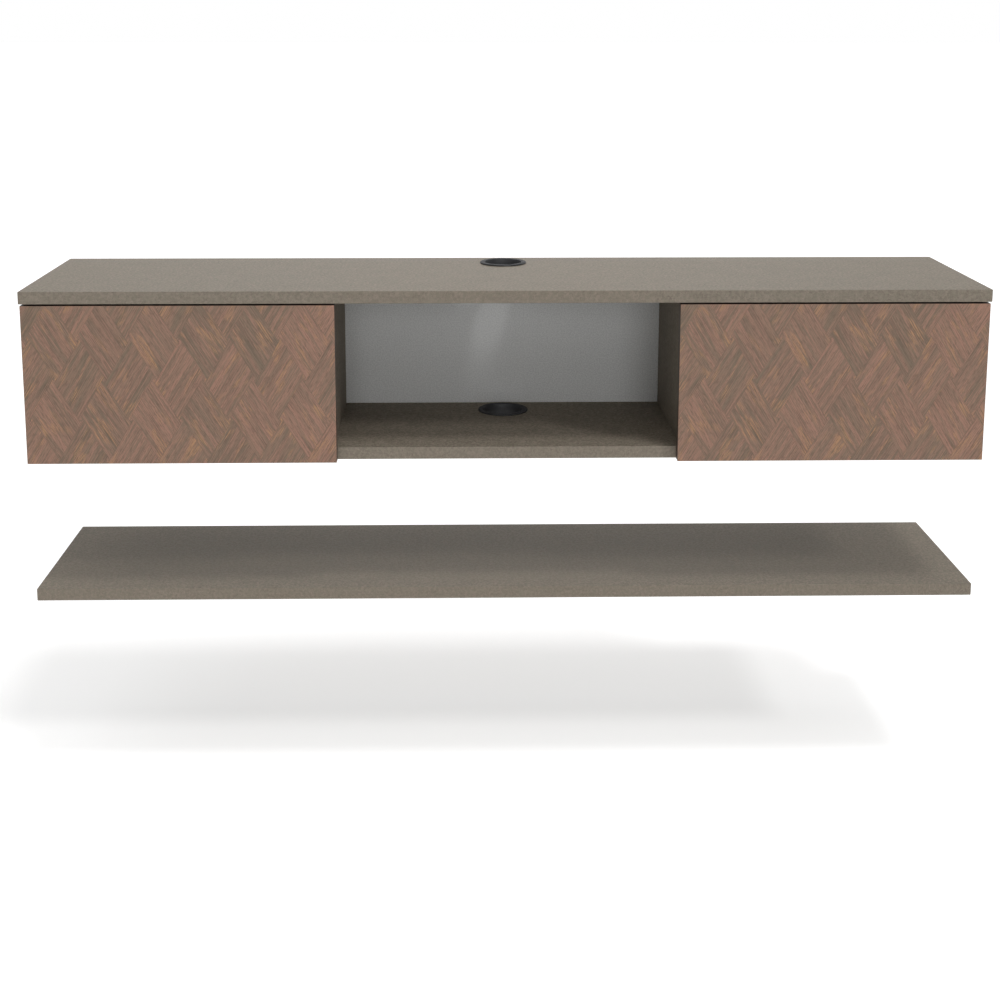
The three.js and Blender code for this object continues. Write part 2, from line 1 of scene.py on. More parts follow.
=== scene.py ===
"""Looks of the floating media console: finishes, small fittings, camera and studio, round its fixed frame.

+Z is up, +X is to the right seen from the front, -Y is towards the viewer, and the wall is the plane y = 0.
Blender works in metres. The classes hold their sizes in millimetres, and MM turns those into metres.
"""

import json
import logging
import math
from abc import ABC, abstractmethod
from dataclasses import dataclass
from enum import Enum
from typing import Sequence

import bpy
from bpy.types import ID, Material, Node, NodeSocket as Socket, NodeTree, Object, World
from mathutils import Matrix, Vector


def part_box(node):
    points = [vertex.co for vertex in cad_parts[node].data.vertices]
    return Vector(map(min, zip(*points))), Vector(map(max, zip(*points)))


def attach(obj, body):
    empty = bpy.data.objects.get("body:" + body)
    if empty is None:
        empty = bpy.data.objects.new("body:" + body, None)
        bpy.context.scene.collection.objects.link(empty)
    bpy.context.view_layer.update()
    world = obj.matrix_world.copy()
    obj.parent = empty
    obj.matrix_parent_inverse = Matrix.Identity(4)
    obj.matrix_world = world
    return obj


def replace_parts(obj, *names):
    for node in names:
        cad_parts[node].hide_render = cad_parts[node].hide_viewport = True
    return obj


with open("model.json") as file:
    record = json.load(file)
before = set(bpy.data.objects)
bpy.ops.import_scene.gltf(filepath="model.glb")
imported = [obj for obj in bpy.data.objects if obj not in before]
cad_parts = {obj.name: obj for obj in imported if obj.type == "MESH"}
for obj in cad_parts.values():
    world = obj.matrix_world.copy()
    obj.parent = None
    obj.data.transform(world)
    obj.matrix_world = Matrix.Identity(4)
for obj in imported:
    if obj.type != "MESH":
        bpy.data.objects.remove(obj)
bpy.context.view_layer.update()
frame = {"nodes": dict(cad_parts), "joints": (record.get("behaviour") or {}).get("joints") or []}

MM = 0.001

# Angles in radians. WELD_DISTANCE is in metres and SAME_HEIGHT in millimetres. FACING_LIMIT is how much of a
# face's direction has to point one way, for the face to count as facing that way.
SHARP_ANGLE = math.radians(35.0)
ROUND_ANGLE = math.radians(32.0)
BEVEL_ANGLE = math.radians(40.0)
BEVEL_SEGMENTS = 2
WELD_DISTANCE = 0.002 * MM
FACING_LIMIT = 0.7
SAME_HEIGHT = 0.01
TO_WALL = Vector((0, 1, 0))
TO_ROOM = Vector((0, -1, 0))
DOWN = Vector((0, 0, -1))

Colour = tuple[int, int, int]
Point = tuple[float, float, float]
Value = float | Sequence[float] | Socket
# A ring's height along its axis, with its radius or how far each of its points lies from the axis.
Row = tuple[float, float | Sequence[float]]

log = logging.getLogger("media_console")


class Side(Enum):
    """The two halves of the console, with the sign of X on each."""

    LEFT = -1
    RIGHT = 1

    @property
    def word(self) -> str:
        """The side's word in the names of nodes and bodies."""
        return self.name.lower()


class Drive(Enum):
    """How a screw head is turned, with the turn from one arm of its recess to the next."""

    CROSS = math.pi / 2
    SLOT = math.pi


class Head(Enum):
    """The outline of a screw head above its bearing face, in shares of its radius and its rise."""

    PAN = ((1.0, 0.0), (1.0, 0.4), (0.93, 0.75), (0.8, 0.95))
    FLUSH = ((1.0, 0.0), (1.0, 0.6), (0.97, 1.0))


def linear(colour: Colour) -> tuple[float, ...]:
    """The light values, with full alpha, that a shader takes for a written 8-bit colour."""
    shares = [value / 255 for value in colour]
    return (*(part / 12.92 if part <= 0.04045 else ((part + 0.055) / 1.055) ** 2.4 for part in shares), 1.0)


# Shader building

@dataclass(frozen=True)
class Layer:
    """One layer of noise: how wide its patches are, and the noise values low and high that give its ends."""

    size: float = 1.0
    low: float = 0.3
    high: float = 0.7
    detail: float = 2.0
    roughness: float = 0.5
    ends: tuple[float, float] = (0.0, 1.0)


@dataclass(frozen=True)
class Graph:
    """Adds nodes to one shader tree and joins them."""

    tree: NodeTree

    def feed(self, socket: Socket, value: Value) -> None:
        """Links a socket to another, or sets the value that it holds.

        Args:
            socket: the input to feed.
            value: an output socket, or a plain value.
        """
        if isinstance(value, Socket):
            self.tree.links.new(value, socket)
        else:
            socket.default_value = value

    def add(self, kind: str, inputs: dict[str | int, Value] | None = None, **settings: object) -> Node:
        """Adds a node.

        Args:
            kind: the node's type, without the leading ShaderNode.
            inputs: what feeds each input, by name or place.
            settings: the node's own properties.

        Returns:
            The new node.
        """
        node = self.tree.nodes.new("ShaderNode" + kind)
        for name, setting in settings.items():
            setattr(node, name, setting)
        for key, value in (inputs or {}).items():
            self.feed(node.inputs[key], value)
        return node

    def math(self, operation: str, *values: Value) -> Socket:
        """The result of a Math node."""
        return self.add("Math", dict(enumerate(values)), operation=operation).outputs[0]

    def plus(self, first: Value, second: Value) -> Socket:
        """The sum of two numbers."""
        return self.math("ADD", first, second)

    def minus(self, first: Value, second: Value) -> Socket:
        """The first number less the second."""
        return self.math("SUBTRACT", first, second)

    def times(self, first: Value, second: Value) -> Socket:
        """The product of two numbers."""
        return self.math("MULTIPLY", first, second)

    def over(self, first: Value, second: Value) -> Socket:
        """The first number divided by the second."""
        return self.math("DIVIDE", first, second)

    def unsigned(self, value: Value) -> Socket:
        """A number without its sign."""
        return self.math("ABSOLUTE", value)

    def stretch(self, vector: Value, factors: Value) -> Socket:
        """A vector with each part times its own factor."""
        return self.add("VectorMath", {0: vector, 1: factors}, operation="MULTIPLY").outputs[0]

    def scale(self, vector: Value, factor: Value) -> Socket:
        """A vector times a number."""
        return self.add("VectorMath", {0: vector, "Scale": factor}, operation="SCALE").outputs[0]

    def join(self, x: Value, y: Value, z: Value) -> Socket:
        """A vector from its three parts."""
        return self.add("CombineXYZ", {0: x, 1: y, 2: z}).outputs[0]

    def split(self, vector: Value) -> tuple[Socket, Socket, Socket]:
        """The three parts of a vector."""
        return tuple(self.add("SeparateXYZ", {0: vector}).outputs)

    def mix(self, share: Value, first: Colour | Socket, second: Colour | Socket) -> Socket:
        """A colour from two: the first where the share is 0, and the second where it is 1."""
        colours = (linear(colour) if isinstance(colour, tuple) else colour for colour in (first, second))
        return self.add("Mix", dict(zip((0, 6, 7), (share, *colours))), data_type="RGBA").outputs[2]

    def between(self, share: Value, first: Value, second: Value) -> Socket:
        """A number from two: the first where the share is 0, and the second where it is 1."""
        return self.add("Mix", {0: share, 2: first, 3: second}, data_type="FLOAT").outputs[0]

    def span(self, value: Value, low: float, high: float, *onto: float) -> Socket:
        """Maps the numbers from low to high smoothly onto others, or onto 0 to 1, and holds the ends."""
        inputs = dict(enumerate((value, low, high, *(onto or (0.0, 1.0)))))
        return self.add("MapRange", inputs, interpolation_type="SMOOTHSTEP").outputs[0]

    def noise(self, place: Value, layer: Layer) -> Socket:
        """A layer of noise at a place that is given in the units of the layer's size."""
        inputs = {0: place, "Scale": 1 / layer.size, "Detail": layer.detail, "Roughness": layer.roughness}
        return self.span(self.add("TexNoise", inputs).outputs[0], layer.low, layer.high, *layer.ends)

    def chance(self, place: Value) -> Socket:
        """A random number from 0 to 1 that belongs to a place."""
        return self.add("TexWhiteNoise", {"Vector": place}, noise_dimensions="3D").outputs[0]

    def use(self, group: "ShaderGroup", **inputs: Value) -> dict[str, Socket]:
        """Places a shared effect.

        Args:
            group: the effect.
            inputs: what feeds its inputs, with underscores for spaces in their names.

        Returns:
            Its outputs by name.
        """
        node = self.add("Group", node_tree=group.tree())
        for name, value in inputs.items():
            self.feed(node.inputs[name.replace("_", " ")], value)
        return {output.name: output for output in node.outputs}


class ShaderGroup(ABC):
    """An effect that several finishes share, as a node group that is built once."""

    name: str
    inputs: dict[str, float | Point] = {}
    outputs: tuple[str, ...] = ()

    def tree(self) -> NodeTree:
        """Finds the group's tree, or builds it.

        Returns:
            The node tree.
        """
        found = bpy.data.node_groups.get(self.name)
        if found:
            return found
        tree = bpy.data.node_groups.new(self.name, "ShaderNodeTree")
        for label, default in self.inputs.items():
            kind = "NodeSocketVector" if isinstance(default, tuple) else "NodeSocketFloat"
            socket = tree.interface.new_socket(label, in_out="INPUT", socket_type=kind)
            socket.default_value = default
        for label in self.outputs:
            tree.interface.new_socket(label, in_out="OUTPUT", socket_type="NodeSocketFloat")
        given = tree.nodes.new("NodeGroupInput")
        result = tree.nodes.new("NodeGroupOutput")
        made = self.lay_out(Graph(tree), {output.name: output for output in given.outputs if output.name})
        for label in self.outputs:
            tree.links.new(made[label], result.inputs[label])
        return tree

    @abstractmethod
    def lay_out(self, graph: Graph, given: dict[str, Socket]) -> dict[str, Socket]:
        """Builds the effect's nodes from its inputs, and gives what feeds each output."""


class HerringboneLay(ShaderGroup):
    """Slanted veneer blocks whose grain turns from block to block, each a little longer than it is wide.

    The blocks lie on a sheared chequerboard. Rows of blocks that lean one way alternate with rows that lean
    the other way, and the long sides of each block tuck under the ends of its neighbours.
    """

    name = "herringbone_lay"
    inputs = {"Across Door": 0.0, "Down Door": 0.0, "Half Width": 36.0, "Half Height": 59.5, "Tuck": 0.08}
    outputs = ("Along", "Across", "Seed", "Joint")
    seed_slice = 1.5
    joint_width = 0.012

    def lay_out(self, graph: Graph, given: dict[str, Socket]) -> dict[str, Socket]:
        """Finds the block of each point and the point's place along and across its grain.

        Args:
            graph: the group's graph.
            given: its inputs by name.

        Returns:
            The grain coordinates in millimetres, the block's random number and the joint mask.
        """
        right, down = given["Across Door"], given["Down Door"]
        wide, high = given["Half Width"], given["Half Height"]
        level, drop = graph.over(right, wide), graph.over(down, high)
        falling = graph.times(graph.plus(level, drop), 0.5)
        rising = graph.times(graph.minus(level, drop), 0.5)
        cells = [graph.math("ROUND", diagonal) for diagonal in (falling, rising)]
        odd = self.odd(graph, *cells)
        across = graph.between(odd, graph.minus(rising, cells[1]), graph.minus(falling, cells[0]))
        reach = graph.minus(0.5, graph.times(given["Tuck"], 0.5))
        tucked = graph.math("GREATER_THAN", graph.unsigned(across), reach)
        step = graph.times(graph.math("SIGN", across), tucked)
        moves = (odd, graph.minus(1.0, odd))
        cells = [graph.plus(cell, graph.times(step, move)) for cell, move in zip(cells, moves)]
        slant = graph.math("SQRT", graph.plus(graph.times(wide, wide), graph.times(high, high)))
        cosine = graph.over(wide, slant)
        turn = graph.minus(1.0, graph.times(self.odd(graph, *cells), 2.0))
        sine = graph.times(graph.over(high, slant), turn)
        edge = graph.unsigned(graph.minus(graph.unsigned(across), reach))
        return {
            "Along": graph.plus(graph.times(right, cosine), graph.times(down, sine)),
            "Across": graph.minus(graph.times(down, cosine), graph.times(right, sine)),
            "Seed": graph.chance(graph.join(*cells, self.seed_slice)),
            "Joint": graph.span(edge, 0.0, self.joint_width, 1.0, 0.0),
        }

    @staticmethod
    def odd(graph: Graph, first: Socket, second: Socket) -> Socket:
        """1 where the two cell numbers add up to an odd number, otherwise 0."""
        return graph.unsigned(graph.math("MODULO", graph.plus(first, second), 2.0))


class WoodGrain(ShaderGroup):
    """Fine wood figure from a place along and across the grain.

    Each strand has its width and length in millimetres, its own slice of the noise, and the values of the
    noise that give 0 and 1.
    """

    name = "wood_grain"
    inputs = {"Along": 0.0, "Across": 0.0, "Seed": 0.0}
    outputs = ("Band", "Streak", "Bright", "Dark", "Pore")
    seed_slices = 613.0
    roughness = 0.6
    strands: dict[str, tuple[float, ...]] = {
        "Band": (6.5, 150.0, 0.0, 0.34, 0.66),
        "Streak": (1.1, 60.0, 7.3, 0.38, 0.62),
        "Glow": (0.8, 44.0, 15.1, 0.47, 0.6),
        "Patch": (16.0, 46.0, 23.7, 0.53, 0.65),
        "Shade": (0.9, 80.0, 31.9, 0.46, 0.62),
        "Shadow": (14.0, 90.0, 57.1, 0.4, 0.62),
        "Pore": (0.9, 9.0, 41.3, 0.46, 0.7),
    }

    def lay_out(self, graph: Graph, given: dict[str, Socket]) -> dict[str, Socket]:
        """Stretches noise along the grain at several widths.

        Args:
            graph: the group's graph.
            given: its inputs by name.

        Returns:
            Tone bands, fine streaks, the masks of bright and dark streaks, and pores.
        """
        shift = graph.times(given["Seed"], self.seed_slices)
        made = {}
        for label, (width, length, own_slice, low, high) in self.strands.items():
            across, along = graph.over(given["Across"], width), graph.over(given["Along"], length)
            place = graph.join(across, along, graph.plus(shift, own_slice))
            made[label] = graph.noise(place, Layer(low=low, high=high, roughness=self.roughness))
        made["Bright"] = graph.times(made["Glow"], made["Patch"])
        made["Dark"] = graph.times(made["Shade"], made["Shadow"])
        return made


class FineMottle(ShaderGroup):
    """Speckle, soft clouds and a slow change of tint, for laminates, paint and moulded plastic."""

    name = "fine_mottle"
    inputs = {"Place": (0.0, 0.0, 0.0), "Speck Size": 1.5, "Cloud Size": 40.0, "Cloud Share": 0.1}
    outputs = ("Tone", "Tint", "Height")
    grit = Layer(detail=1.0)
    fleck = Layer(2.6, 0.34, 0.66, detail=1.0)
    cloud = Layer(detail=3.0, roughness=0.6)
    tint = Layer(2.9, 0.36, 0.64, detail=1.0)
    tint_slice = (71.3, 19.7, 43.1)

    def lay_out(self, graph: Graph, given: dict[str, Socket]) -> dict[str, Socket]:
        """Adds clouds to speckle.

        Args:
            graph: the group's graph.
            given: its inputs by name.

        Returns:
            The tone and the tint, each from 0 to 1, and a height for bump.
        """
        specks, clouds = (
            graph.scale(given["Place"], graph.over(1.0, given[size])) for size in ("Speck Size", "Cloud Size")
        )
        speck = graph.between(0.5, graph.noise(specks, self.grit), graph.noise(specks, self.fleck))
        apart = graph.add("VectorMath", {0: specks, 1: self.tint_slice}, operation="ADD").outputs[0]
        return {
            "Tone": graph.between(given["Cloud Share"], speck, graph.noise(clouds, self.cloud)),
            "Tint": graph.noise(apart, self.tint),
            "Height": speck,
        }


class FineScratches(ShaderGroup):
    """Hair scratches along one direction with soft blotches, for plated and burnished metal."""

    name = "fine_scratches"
    inputs = {"Place": (0.0, 0.0, 0.0), "Stretch": (0.02, 1.0, 1.0)}
    outputs = ("Scratch", "Blotch")
    scratch = Layer(0.35)
    blotch = Layer(9.0, detail=3.0, roughness=0.6)

    def lay_out(self, graph: Graph, given: dict[str, Socket]) -> dict[str, Socket]:
        """Stretches fine noise into scratches.

        Args:
            graph: the group's graph.
            given: its inputs by name.

        Returns:
            The scratches and the blotches, each from 0 to 1.
        """
        drawn = graph.noise(graph.stretch(given["Place"], given["Stretch"]), self.scratch)
        return {"Scratch": drawn, "Blotch": graph.noise(given["Place"], self.blotch)}


# Finishes

def emptied(owner: Material | World) -> Graph:
    """Clears the shader tree of a new material or surround.

    Args:
        owner: the material or surround.

    Returns:
        Its empty graph.
    """
    owner.use_nodes = True
    owner.node_tree.nodes.clear()
    return Graph(owner.node_tree)


@dataclass(frozen=True)
class Finish(ABC):
    """The look of one material slot.

    The bevel and the relief are in millimetres, and the roughness is given where the pattern is 0 and 1.
    """

    slot: str
    bevel: float
    relief: float = 0.03
    shine: float = 0.5
    roughness: tuple[float, float] = (0.62, 0.72)

    @property
    def label(self) -> str:
        """The material's name."""
        return f"{self.slot}_finish"

    def material(self) -> Material:
        """Finds the finish's material, or makes it.

        Returns:
            The material.
        """
        found = bpy.data.materials.get(self.label)
        if found:
            return found
        material = bpy.data.materials.new(self.label)
        graph = emptied(material)
        shader = graph.add("BsdfPrincipled")
        self.dress(graph, shader)
        shader.inputs["Specular IOR Level"].default_value = self.shine
        graph.add("OutputMaterial", {"Surface": shader.outputs[0]})
        return material

    def put_on(self, piece: Object) -> None:
        """Makes this the only finish of a piece."""
        piece.data.materials.clear()
        piece.data.materials.append(self.material())

    @abstractmethod
    def dress(self, graph: Graph, shader: Node) -> None:
        """Feeds the material's shader."""

    @staticmethod
    def place(graph: Graph) -> Socket:
        """The point on the piece, in millimetres of the shared frame at rest."""
        return graph.scale(graph.add("TexCoord").outputs["Object"], 1 / MM)

    @staticmethod
    def facing(graph: Graph) -> tuple[Socket, Socket, Socket]:
        """The three parts of the direction that the surface faces, at rest."""
        return graph.split(graph.add("TexCoord").outputs["Normal"])

    def gloss(self, graph: Graph, pattern: Socket) -> Socket:
        """The roughness that belongs to each value of a pattern."""
        return graph.span(pattern, 0.0, 1.0, *self.roughness)

    def coat(self, graph: Graph, shader: Node, colour: Socket, rough: Socket, height: Socket) -> None:
        """Feeds the shader's colour, roughness and bump.

        Args:
            graph: the material's graph.
            shader: its Principled BSDF.
            colour: the base colour.
            rough: the roughness.
            height: the height of the surface, as a share of the relief.
        """
        bump = graph.add("Bump", {"Height": height, "Strength": 1.0, "Distance": self.relief * MM})
        for label, value in (("Base Color", colour), ("Roughness", rough), ("Normal", bump.outputs[0])):
            graph.feed(shader.inputs[label], value)


@dataclass(frozen=True)
class TaupeLaminate(Finish):
    """Matt taupe laminate on chipboard, with raw chipboard on the rear edges."""

    slot: str = "taupe_laminate"
    bevel: float = 0.5
    relief: float = 0.02
    shine: float = 0.2
    roughness: tuple[float, float] = (0.62, 0.74)
    chip_roughness: float = 0.85
    chip_scale: float = 0.5
    green_share: float = 0.4
    edge_stretch: Point = (0.16, 1.0, 1.0)
    edge_streak: Layer = Layer(3.0, 0.2, 0.8, roughness=0.6, ends=(0.36, 0.54))
    low: Colour = (90, 79, 67)
    high: Colour = (151, 140, 127)
    green: Colour = (117, 115, 98)
    edge: Colour = (141, 132, 120)
    chip_dark: Colour = (139, 112, 80)
    chip_light: Colour = (190, 164, 126)

    def dress(self, graph: Graph, shader: Node) -> None:
        """Speckled taupe faces, softly streaked edge bands and chipboard behind.

        Args:
            graph: the material's graph.
            shader: its Principled BSDF.
        """
        place = self.place(graph)
        _, away, _ = self.facing(graph)
        mottle = graph.use(FineMottle(), Place=place)
        face = graph.mix(mottle["Tone"], self.low, self.high)
        face = graph.mix(graph.times(mottle["Tint"], self.green_share), face, self.green)
        streak = graph.noise(graph.stretch(place, self.edge_stretch), self.edge_streak)
        front = graph.math("LESS_THAN", away, -FACING_LIMIT)
        skin = graph.mix(graph.times(front, streak), face, self.edge)
        inputs = {"Vector": place, "Scale": self.chip_scale, "Randomness": 1.0}
        chips = graph.add("TexVoronoi", inputs, distance="CHEBYCHEV").outputs["Color"]
        rear = graph.math("GREATER_THAN", away, FACING_LIMIT)
        colour = graph.mix(rear, skin, graph.mix(chips, self.chip_dark, self.chip_light))
        rough = graph.between(rear, self.gloss(graph, mottle["Tone"]), self.chip_roughness)
        self.coat(graph, shader, colour, rough, mottle["Height"])


@dataclass(frozen=True)
class HerringboneVeneer(Finish):
    """Satin brown veneer: slanted herringbone blocks on the front, straight grain on the rear and edges.

    The corner is the door's top left one. The blocks are measured from it in millimetres, and each share is
    how strongly that part of the figure, or of the painted shade on the edges, shows.
    """

    slot: str = "herringbone_veneer"
    bevel: float = 0.35
    shine: float = 0.35
    roughness: tuple[float, float] = (0.52, 0.42)
    side: Side = Side.LEFT
    corner_x: float = 0.0
    corner_z: float = 0.0
    block_right: float = 116.5
    block_down: float = 49.0
    print_shift: float = 0.0
    streak_share: float = 0.58
    block_share: float = 0.36
    dark_share: float = 0.46
    bright_share: float = 0.7
    pore_share: float = 0.52
    joint_share: float = 0.3
    stain_share: float = 0.85
    olive: Colour = (118, 102, 85)
    pink: Colour = (159, 120, 102)
    amber: Colour = (183, 138, 99)
    dark: Colour = (86, 70, 58)
    # Painted shade: the near-black colour on the door's edges stands in for the shade in the gaps round the
    # door.
    stain: Colour = (40, 32, 27)

    @property
    def label(self) -> str:
        """The material's name, one for each door."""
        return f"{self.slot}_{self.side.word}_finish"

    def dress(self, graph: Graph, shader: Node) -> None:
        """Lays the blocks on the front face, straight grain elsewhere, and painted shade on the edges: a
        near-black colour that stands in for the shade in the narrow gaps round the door.

        Args:
            graph: the material's graph.
            shader: its Principled BSDF.
        """
        across, depth, up = graph.split(self.place(graph))
        lean, away, _ = self.facing(graph)
        right = graph.minus(across, self.corner_x + self.block_right + self.print_shift)
        down = graph.minus(self.corner_z - self.block_down, up)
        lay = graph.use(HerringboneLay(), Across_Door=right, Down_Door=down)
        front = graph.math("LESS_THAN", away, -FACING_LIMIT)
        end = graph.math("GREATER_THAN", graph.unsigned(lean), FACING_LIMIT)
        beside = graph.plus(graph.between(end, up, across), depth)
        grain = graph.use(
            WoodGrain(),
            Along=graph.between(front, graph.between(end, across, up), lay["Along"]),
            Across=graph.between(front, beside, lay["Across"]),
            Seed=graph.times(lay["Seed"], front),
        )
        tone = graph.between(self.streak_share, grain["Band"], grain["Streak"])
        block = graph.times(graph.minus(lay["Seed"], 0.5), self.block_share)
        wood = graph.mix(graph.plus(tone, graph.times(block, front)), self.olive, self.pink)
        for mask, share, colour in (
            (grain["Dark"], self.dark_share, self.dark),
            (grain["Bright"], self.bright_share, self.amber),
            (grain["Pore"], self.pore_share, self.dark),
            (graph.times(lay["Joint"], front), self.joint_share, self.dark),
            # Painted shade: edges that face neither front nor back are darkened nearly to black, for the
            # shade in the gaps round the door.
            (graph.math("LESS_THAN", graph.unsigned(away), FACING_LIMIT), self.stain_share, self.stain),
        ):
            wood = graph.mix(graph.times(mask, share), wood, colour)
        height = graph.minus(grain["Streak"], grain["Pore"])
        self.coat(graph, shader, wood, self.gloss(graph, grain["Streak"]), height)


@dataclass(frozen=True)
class SpeckledPaint(Finish):
    """Matt pale grey paint with a fine orange-peel speckle."""

    shine: float = 0.3
    speck: float = 0.8
    cloud: float = 70.0
    cloud_share: float = 0.05
    low: Colour = (190, 191, 191)
    high: Colour = (221, 222, 221)

    def dress(self, graph: Graph, shader: Node) -> None:
        """Speckles the tone.

        Args:
            graph: the material's graph.
            shader: its Principled BSDF.
        """
        sizes = {"Speck_Size": self.speck, "Cloud_Size": self.cloud, "Cloud_Share": self.cloud_share}
        mottle = graph.use(FineMottle(), Place=self.place(graph), **sizes)
        colour = graph.mix(mottle["Tone"], self.low, self.high)
        self.coat(graph, shader, colour, self.gloss(graph, mottle["Tone"]), mottle["Height"])


@dataclass(frozen=True)
class MouldedPlastic(SpeckledPaint):
    """Satin moulded plastic or rubber with a fine grain, whose level faces have a roughness of their own."""

    relief: float = 0.015
    shine: float = 0.35
    roughness: tuple[float, float] = (0.42, 0.52)
    speck: float = 0.5
    cloud: float = 14.0
    cloud_share: float = 0.5
    level_roughness: float = 0.5
    low: Colour = (104, 105, 107)
    high: Colour = (118, 119, 121)

    def gloss(self, graph: Graph, pattern: Socket) -> Socket:
        """The roughness that belongs to each value of a pattern, and to level faces."""
        level = graph.unsigned(self.facing(graph)[2])
        return graph.between(level, super().gloss(graph, pattern), self.level_roughness)


@dataclass(frozen=True)
class SandedPlywood(Finish):
    """Plain sanded plywood: straight face grain, and its layers on every edge."""

    slot: str = "plywood"
    bevel: float = 0.6
    relief: float = 0.06
    roughness: tuple[float, float] = (0.68, 0.8)
    seed: float = 0.31
    band_share: float = 0.4
    ply: float = 2.0
    ply_shift: float = 0.7
    ply_edge: tuple[float, float] = (0.4, 0.6)
    edge_limit: float = 0.8
    light: Colour = (214, 186, 146)
    deep: Colour = (184, 150, 108)
    end: Colour = (150, 116, 80)

    def dress(self, graph: Graph, shader: Node) -> None:
        """Lays grain on the faces and layers on the edges.

        Args:
            graph: the material's graph.
            shader: its Principled BSDF.
        """
        along, depth, up = graph.split(self.place(graph))
        _, away, _ = self.facing(graph)
        grain = graph.use(WoodGrain(), Along=along, Across=graph.plus(up, depth), Seed=self.seed)
        face = graph.mix(grain["Streak"], self.light, self.deep)
        face = graph.mix(graph.times(grain["Band"], self.band_share), face, self.deep)
        phase = graph.math("PINGPONG", graph.plus(depth, self.ply_shift), self.ply)
        plies = graph.span(phase, *(self.ply * share for share in self.ply_edge))
        layers = graph.mix(plies, face, graph.mix(grain["Pore"], self.deep, self.end))
        edge = graph.math("LESS_THAN", graph.unsigned(away), self.edge_limit)
        height = graph.minus(grain["Streak"], grain["Pore"])
        self.coat(graph, shader, graph.mix(edge, face, layers), self.gloss(graph, grain["Streak"]), height)


@dataclass(frozen=True)
class PlatedSteel(Finish):
    """Plated or burnished steel with hair scratches and soft blotches."""

    relief: float = 0.004
    roughness: tuple[float, float] = (0.4, 0.24)
    low: Colour = (150, 152, 155)
    high: Colour = (184, 186, 188)

    def dress(self, graph: Graph, shader: Node) -> None:
        """Varies the metal's tone and gloss.

        Args:
            graph: the material's graph.
            shader: its Principled BSDF.
        """
        wear = graph.use(FineScratches(), Place=self.place(graph))
        tone = graph.between(0.5, wear["Blotch"], wear["Scratch"])
        colour = graph.mix(tone, self.low, self.high)
        shader.inputs["Metallic"].default_value = 1.0
        self.coat(graph, shader, colour, self.gloss(graph, tone), wear["Scratch"])


TAUPE_LAMINATE = TaupeLaminate()
PALE_BACKBOARD = SpeckledPaint("pale_backboard", 0.4)
PLYWOOD = SandedPlywood()
ZINC_STEEL = PlatedSteel("zinc_steel", 0.25)
DARK_STEEL = PlatedSteel("dark_steel", 0.25, roughness=(0.45, 0.3), low=(74, 75, 79), high=(100, 101, 104))
GREY_PLASTIC = MouldedPlastic("grey_plastic", 0.6)
BLACK_PLASTIC = MouldedPlastic(
    "black_plastic",
    0.3,
    shine=0.22,
    roughness=(0.34, 0.42),
    level_roughness=0.8,
    low=(47, 47, 49),
    high=(61, 61, 63),
)
SOFT_RUBBER = MouldedPlastic(
    "soft_rubber",
    0.3,
    relief=0.03,
    roughness=(0.7, 0.85),
    speck=0.7,
    level_roughness=0.85,
    low=(132, 130, 126),
    high=(146, 144, 140),
)


# Mesh building

def put_in_scene(name: str, data: ID) -> Object:
    """Makes an object and links it to the scene.

    Args:
        name: its name.
        data: its mesh, camera or lamp.

    Returns:
        The object.
    """
    made = bpy.data.objects.new(name, data)
    bpy.context.scene.collection.objects.link(made)
    return made


def mesh_object(name: str, points: Sequence[Point], faces: Sequence[Sequence[int]]) -> Object:
    """Makes an object from points in millimetres, smooth but for its sharp edges.

    Args:
        name: the piece's name.
        points: its vertices, in millimetres of the shared frame.
        faces: its faces, as places in points.

    Returns:
        The object.
    """
    mesh = bpy.data.meshes.new(name)
    mesh.from_pydata([tuple(part * MM for part in point) for point in points], [], faces)
    mesh.validate()
    mesh.shade_smooth()
    mesh.set_sharp_from_angle(angle=SHARP_ANGLE)
    return put_in_scene(name, mesh)


def fit_out(piece: Object, finish: Finish, body: str) -> Object:
    """Gives a new piece its finish and the body that it rides on.

    Args:
        piece: the new piece, in place.
        finish: its finish.
        body: the body's name.

    Returns:
        The same piece.
    """
    finish.put_on(piece)
    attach(piece, body)
    return piece


def round_shading() -> NodeTree:
    """Finds or builds the modifier group that shades turned faces as one smooth surface.

    Returns:
        The geometry node group.
    """
    found = bpy.data.node_groups.get("round_shading")
    if found:
        return found
    tree = bpy.data.node_groups.new("round_shading", "GeometryNodeTree")
    for way in ("INPUT", "OUTPUT"):
        tree.interface.new_socket("Geometry", in_out=way, socket_type="NodeSocketGeometry")
    steps = [tree.nodes.new(kind) for kind in (
        "NodeGroupInput",
        "GeometryNodeMergeByDistance",
        "GeometryNodeRemoveAttribute",
        "GeometryNodeSetShadeSmooth",
        "GeometryNodeSetShadeSmooth",
        "NodeGroupOutput",
    )]
    for before, after in zip(steps, steps[1:]):
        tree.links.new(before.outputs[0], after.inputs[0])
    _, joined, plain, _, creased, _ = steps
    joined.inputs["Distance"].default_value = WELD_DISTANCE
    plain.inputs["Name"].default_value = "custom_normal"
    creased.domain = "EDGE"
    creased.inputs["Shade Smooth"].default_value = False
    angle = tree.nodes.new("GeometryNodeInputMeshEdgeAngle")
    sharp = tree.nodes.new("FunctionNodeCompare")
    sharp.operation = "GREATER_THAN"
    sharp.inputs[1].default_value = ROUND_ANGLE
    tree.links.new(angle.outputs[0], sharp.inputs[0])
    tree.links.new(sharp.outputs[0], creased.inputs["Selection"])
    return tree


